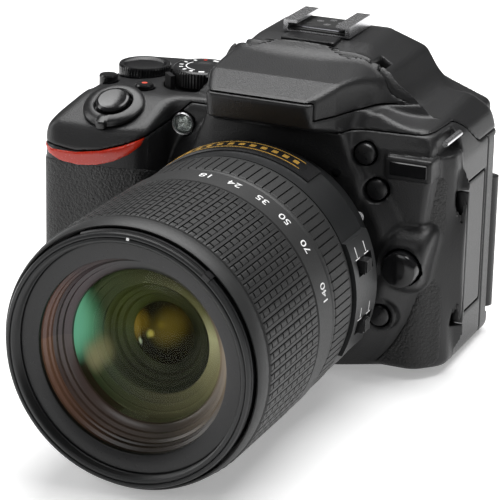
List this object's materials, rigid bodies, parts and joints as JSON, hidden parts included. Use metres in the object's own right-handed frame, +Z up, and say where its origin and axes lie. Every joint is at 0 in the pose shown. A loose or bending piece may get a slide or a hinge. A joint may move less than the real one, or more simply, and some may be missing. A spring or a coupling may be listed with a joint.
{
  "type": "digital single-lens reflex camera",
  "caption": "Single-lens reflex camera with zoom lens: grip, viewfinder hump with pop-up flash, swing-out monitor, dials, buttons, doors and accessory shoe.",
  "frame": {"origin": "mouth of the tripod socket in the base, on the camera's base plane", "axes": "+Z up, the lens points along -Y, +X is the cable socket side"},
  "size_m": [0.1244, 0.16, 0.102],
  "materials": {
    "leatherette": "pebbled",
    "red_plastic": "gloss",
    "body_plastic": "fine grain",
    "button_plastic": "satin",
    "black_metal": "satin black",
    "steel": "brushed",
    "bright_metal": "bright",
    "rubber": "matt",
    "lens_plastic": "satin",
    "optical_glass": "coated",
    "screen_glass": "gloss",
    "lamp_plastic": "clear",
    "silvered": "polished",
    "sensor_cover": "coated",
    "bush_metal": "turned",
    "battery_case": "matt"
  },
  "bodies": {
    "body": {"leather_panels": "leatherette", "grip_accent": "red_plastic", "front_cover": "body_plastic", "rear_cover": "body_plastic", "top_cover": "body_plastic", "body_mount": "steel", "mirror_box": "body_plastic", "focusing_screen": "optical_glass", "pentamirror": "silvered", "eyepiece_lens": "optical_glass", "eyecup": "rubber", "shutter_frame": "black_metal", "image_sensor": "sensor_cover", "tripod_socket": "bush_metal", "battery": "battery_case", "port_sockets": "steel", "hot_shoe": "bright_metal", "strap_eyelets": "steel", "af_assist_lamp": "lamp_plastic", "screws": "black_metal", "lens_mount": "bright_metal", "lens_barrel": "lens_plastic"},
    "zoom_ring": {"zoom_ring": "rubber"},
    "front_group": {"front_barrel": "lens_plastic", "front_element": "optical_glass"},
    "zoom_group": {"diaphragm_unit": "black_metal", "rear_elements": "optical_glass"},
    "focus_ring": {"focus_ring": "rubber"},
    "focus_group": {"focus_element": "optical_glass"},
    "focus_switch": {"focus_switch": "button_plastic"},
    "stabiliser_switch": {"stabiliser_switch": "button_plastic"},
    "reflex_mirror": {"reflex_mirror": "silvered"},
    "sub_mirror": {"sub_mirror": "silvered"},
    "shutter_curtain": {"shutter_curtain": "black_metal"},
    "power_switch": {"power_switch": "button_plastic"},
    "shutter_button": {"shutter_button": "button_plastic"},
    "mode_dial": {"mode_dial": "body_plastic"},
    "live_view_lever": {"live_view_lever": "button_plastic"},
    "command_dial": {"command_dial": "rubber"},
    "movie_button": {"movie_button": "button_plastic"},
    "exposure_button": {"exposure_button": "button_plastic"},
    "flash_button": {"flash_button": "button_plastic"},
    "function_button": {"function_button": "button_plastic"},
    "drive_mode_button": {"drive_mode_button": "button_plastic"},
    "lens_release_button": {"lens_release_button": "button_plastic"},
    "flash_head": {"flash_head": "body_plastic"},
    "monitor": {"monitor_frame": "body_plastic", "monitor_screen": "screen_glass"},
    "battery_door": {"battery_door": "body_plastic"},
    "card_door": {"card_door": "body_plastic"},
    "port_cover": {"port_cover": "rubber"},
    "multi_selector": {"multi_selector": "button_plastic"},
    "ok_button": {"ok_button": "button_plastic"},
    "menu_button": {"menu_button": "button_plastic"},
    "ae_lock_button": {"ae_lock_button": "button_plastic"},
    "playback_button": {"playback_button": "button_plastic"},
    "info_edit_button": {"info_edit_button": "button_plastic"},
    "zoom_in_button": {"zoom_in_button": "button_plastic"},
    "zoom_out_button": {"zoom_out_button": "button_plastic"},
    "delete_button": {"delete_button": "button_plastic"}
  },
  "joints": [
    {"name": "zoom_turn", "type": "hinge", "parent": "body", "child": "zoom_ring", "pos_m": [0, -0.03, 0.034], "axis": [0, -1, 0], "range_deg": [0, 80]},
    {"name": "front_group_slide", "type": "slide", "parent": "body", "child": "front_group", "axis": [0, -1, 0], "range_m": [0, 0.046]},
    {"name": "zoom_group_slide", "type": "slide", "parent": "body", "child": "zoom_group", "axis": [0, -1, 0], "range_m": [0, 0.02]},
    {"name": "focus_turn", "type": "hinge", "parent": "body", "child": "focus_ring", "pos_m": [0, -0.03, 0.034], "axis": [0, -1, 0], "range_deg": [0, 90]},
    {"name": "focus_group_slide", "type": "slide", "parent": "body", "child": "focus_group", "axis": [0, -1, 0], "range_m": [0, 0.004]},
    {"name": "focus_switch_slide", "type": "slide", "parent": "body", "child": "focus_switch", "axis": [0, 1, 0], "range_m": [0, 0.003]},
    {"name": "stabiliser_switch_slide", "type": "slide", "parent": "body", "child": "stabiliser_switch", "axis": [0, 1, 0], "range_m": [0, 0.003]},
    {"name": "mirror_flip", "type": "hinge", "parent": "body", "child": "reflex_mirror", "pos_m": [0, 0.0075, 0.0482], "axis": [-1, 0, 0], "range_deg": [0, 45]},
    {"name": "sub_mirror_fold", "type": "hinge", "parent": "reflex_mirror", "child": "sub_mirror", "pos_m": [0, -0.00077, 0.03667], "axis": [-1, 0, 0], "range_deg": [0, 88]},
    {"name": "shutter_curtain_slide", "type": "slide", "parent": "body", "child": "shutter_curtain", "axis": [0, 0, -1], "range_m": [0, 0.016]},
    {"name": "power_switch_turn", "type": "hinge", "parent": "body", "child": "power_switch", "pos_m": [-0.0523, -0.0281, 0.072], "axis": [0, -0.4226, 0.9063], "range_deg": [0, 30]},
    {"name": "shutter_button_slide", "type": "slide", "parent": "body", "child": "shutter_button", "axis": [0, 0.4226, -0.9063], "range_m": [0, 0.0012], "stiffness_N_per_m": 600},
    {"name": "mode_dial_turn", "type": "hinge", "parent": "body", "child": "mode_dial", "pos_m": [-0.0343, -0.0033, 0.078], "axis": [0, 0, 1], "continuous": true},
    {"name": "live_view_lever_turn", "type": "hinge", "parent": "body", "child": "live_view_lever", "pos_m": [-0.0343, -0.0033, 0.0745], "axis": [0, 0, 1], "range_deg": [0, 20], "stiffness_Nm_per_rad": 0.03},
    {"name": "command_dial_turn", "type": "hinge", "parent": "body", "child": "command_dial", "pos_m": [-0.057, 0.003, 0.075], "axis": [0, 0, 1], "continuous": true},
    {"name": "movie_button_slide", "type": "slide", "parent": "body", "child": "movie_button", "axis": [0, 0, -1], "range_m": [0, 0.0008], "stiffness_N_per_m": 600},
    {"name": "exposure_button_slide", "type": "slide", "parent": "body", "child": "exposure_button", "axis": [0, 0, -1], "range_m": [0, 0.0008], "stiffness_N_per_m": 600},
    {"name": "flash_button_slide", "type": "slide", "parent": "body", "child": "flash_button", "axis": [0, 1, 0], "range_m": [0, 0.0008], "stiffness_N_per_m": 600},
    {"name": "function_button_slide", "type": "slide", "parent": "body", "child": "function_button", "axis": [0, 1, 0], "range_m": [0, 0.0008], "stiffness_N_per_m": 600},
    {"name": "drive_mode_button_slide", "type": "slide", "parent": "body", "child": "drive_mode_button", "axis": [0, 1, 0], "range_m": [0, 0.0008], "stiffness_N_per_m": 600},
    {"name": "lens_release_button_slide", "type": "slide", "parent": "body", "child": "lens_release_button", "axis": [0, 1, 0], "range_m": [0, 0.0025], "stiffness_N_per_m": 500},
    {"name": "flash_pop_up", "type": "hinge", "parent": "body", "child": "flash_head", "pos_m": [0, 0, 0.082], "axis": [-1, 0, 0], "range_deg": [0, 45]},
    {"name": "monitor_swing", "type": "hinge", "parent": "body", "child": "monitor", "pos_m": [0.05, 0.0254, 0.029], "axis": [0, 0, -1], "range_deg": [0, 180]},
    {"name": "battery_door_turn", "type": "hinge", "parent": "body", "child": "battery_door", "pos_m": [-0.0465, -0.0345, 0.001], "axis": [0, -1, 0], "range_deg": [0, 100]},
    {"name": "card_door_turn", "type": "hinge", "parent": "body", "child": "card_door", "pos_m": [-0.0705, -0.0116, 0.038], "axis": [0, 0, 1], "range_deg": [0, 95]},
    {"name": "port_cover_turn", "type": "hinge", "parent": "body", "child": "port_cover", "pos_m": [0.0521, -0.0101, 0.035], "axis": [0, 0, -1], "range_deg": [0, 105]},
    {"name": "multi_selector_turn", "type": "hinge", "parent": "body", "child": "multi_selector", "pos_m": [-0.0495, 0.027, 0.036], "axis": [1, 0, 0], "range_deg": [-3, 3], "stiffness_Nm_per_rad": 0.05},
    {"name": "ok_button_slide", "type": "slide", "parent": "body", "child": "ok_button", "axis": [0, -1, 0], "range_m": [0, 0.0008], "stiffness_N_per_m": 600},
    {"name": "menu_button_slide", "type": "slide", "parent": "body", "child": "menu_button", "axis": [0, -1, 0], "range_m": [0, 0.0007], "stiffness_N_per_m": 600},
    {"name": "ae_lock_button_slide", "type": "slide", "parent": "body", "child": "ae_lock_button", "axis": [0, -1, 0], "range_m": [0, 0.0007], "stiffness_N_per_m": 600},
    {"name": "playback_button_slide", "type": "slide", "parent": "body", "child": "playback_button", "axis": [0, -1, 0], "range_m": [0, 0.0007], "stiffness_N_per_m": 600},
    {"name": "info_edit_button_slide", "type": "slide", "parent": "body", "child": "info_edit_button", "axis": [0, -1, 0], "range_m": [0, 0.0007], "stiffness_N_per_m": 600},
    {"name": "zoom_in_button_slide", "type": "slide", "parent": "body", "child": "zoom_in_button", "axis": [0, -1, 0], "range_m": [0, 0.0007], "stiffness_N_per_m": 600},
    {"name": "zoom_out_button_slide", "type": "slide", "parent": "body", "child": "zoom_out_button", "axis": [0, -1, 0], "range_m": [0, 0.0007], "stiffness_N_per_m": 600},
    {"name": "delete_button_slide", "type": "slide", "parent": "body", "child": "delete_button", "axis": [0, -1, 0], "range_m": [0, 0.0007], "stiffness_N_per_m": 600}
  ],
  "couplings": [
    {"joint": "front_group_slide", "follows": "zoom_turn", "m_per_rad": 0.0329},
    {"joint": "zoom_group_slide", "follows": "zoom_turn", "m_per_rad": 0.0143},
    {"joint": "focus_group_slide", "follows": "focus_turn", "m_per_rad": 0.0025},
    {"joint": "sub_mirror_fold", "follows": "mirror_flip", "ratio": 1.95}
  ]
}
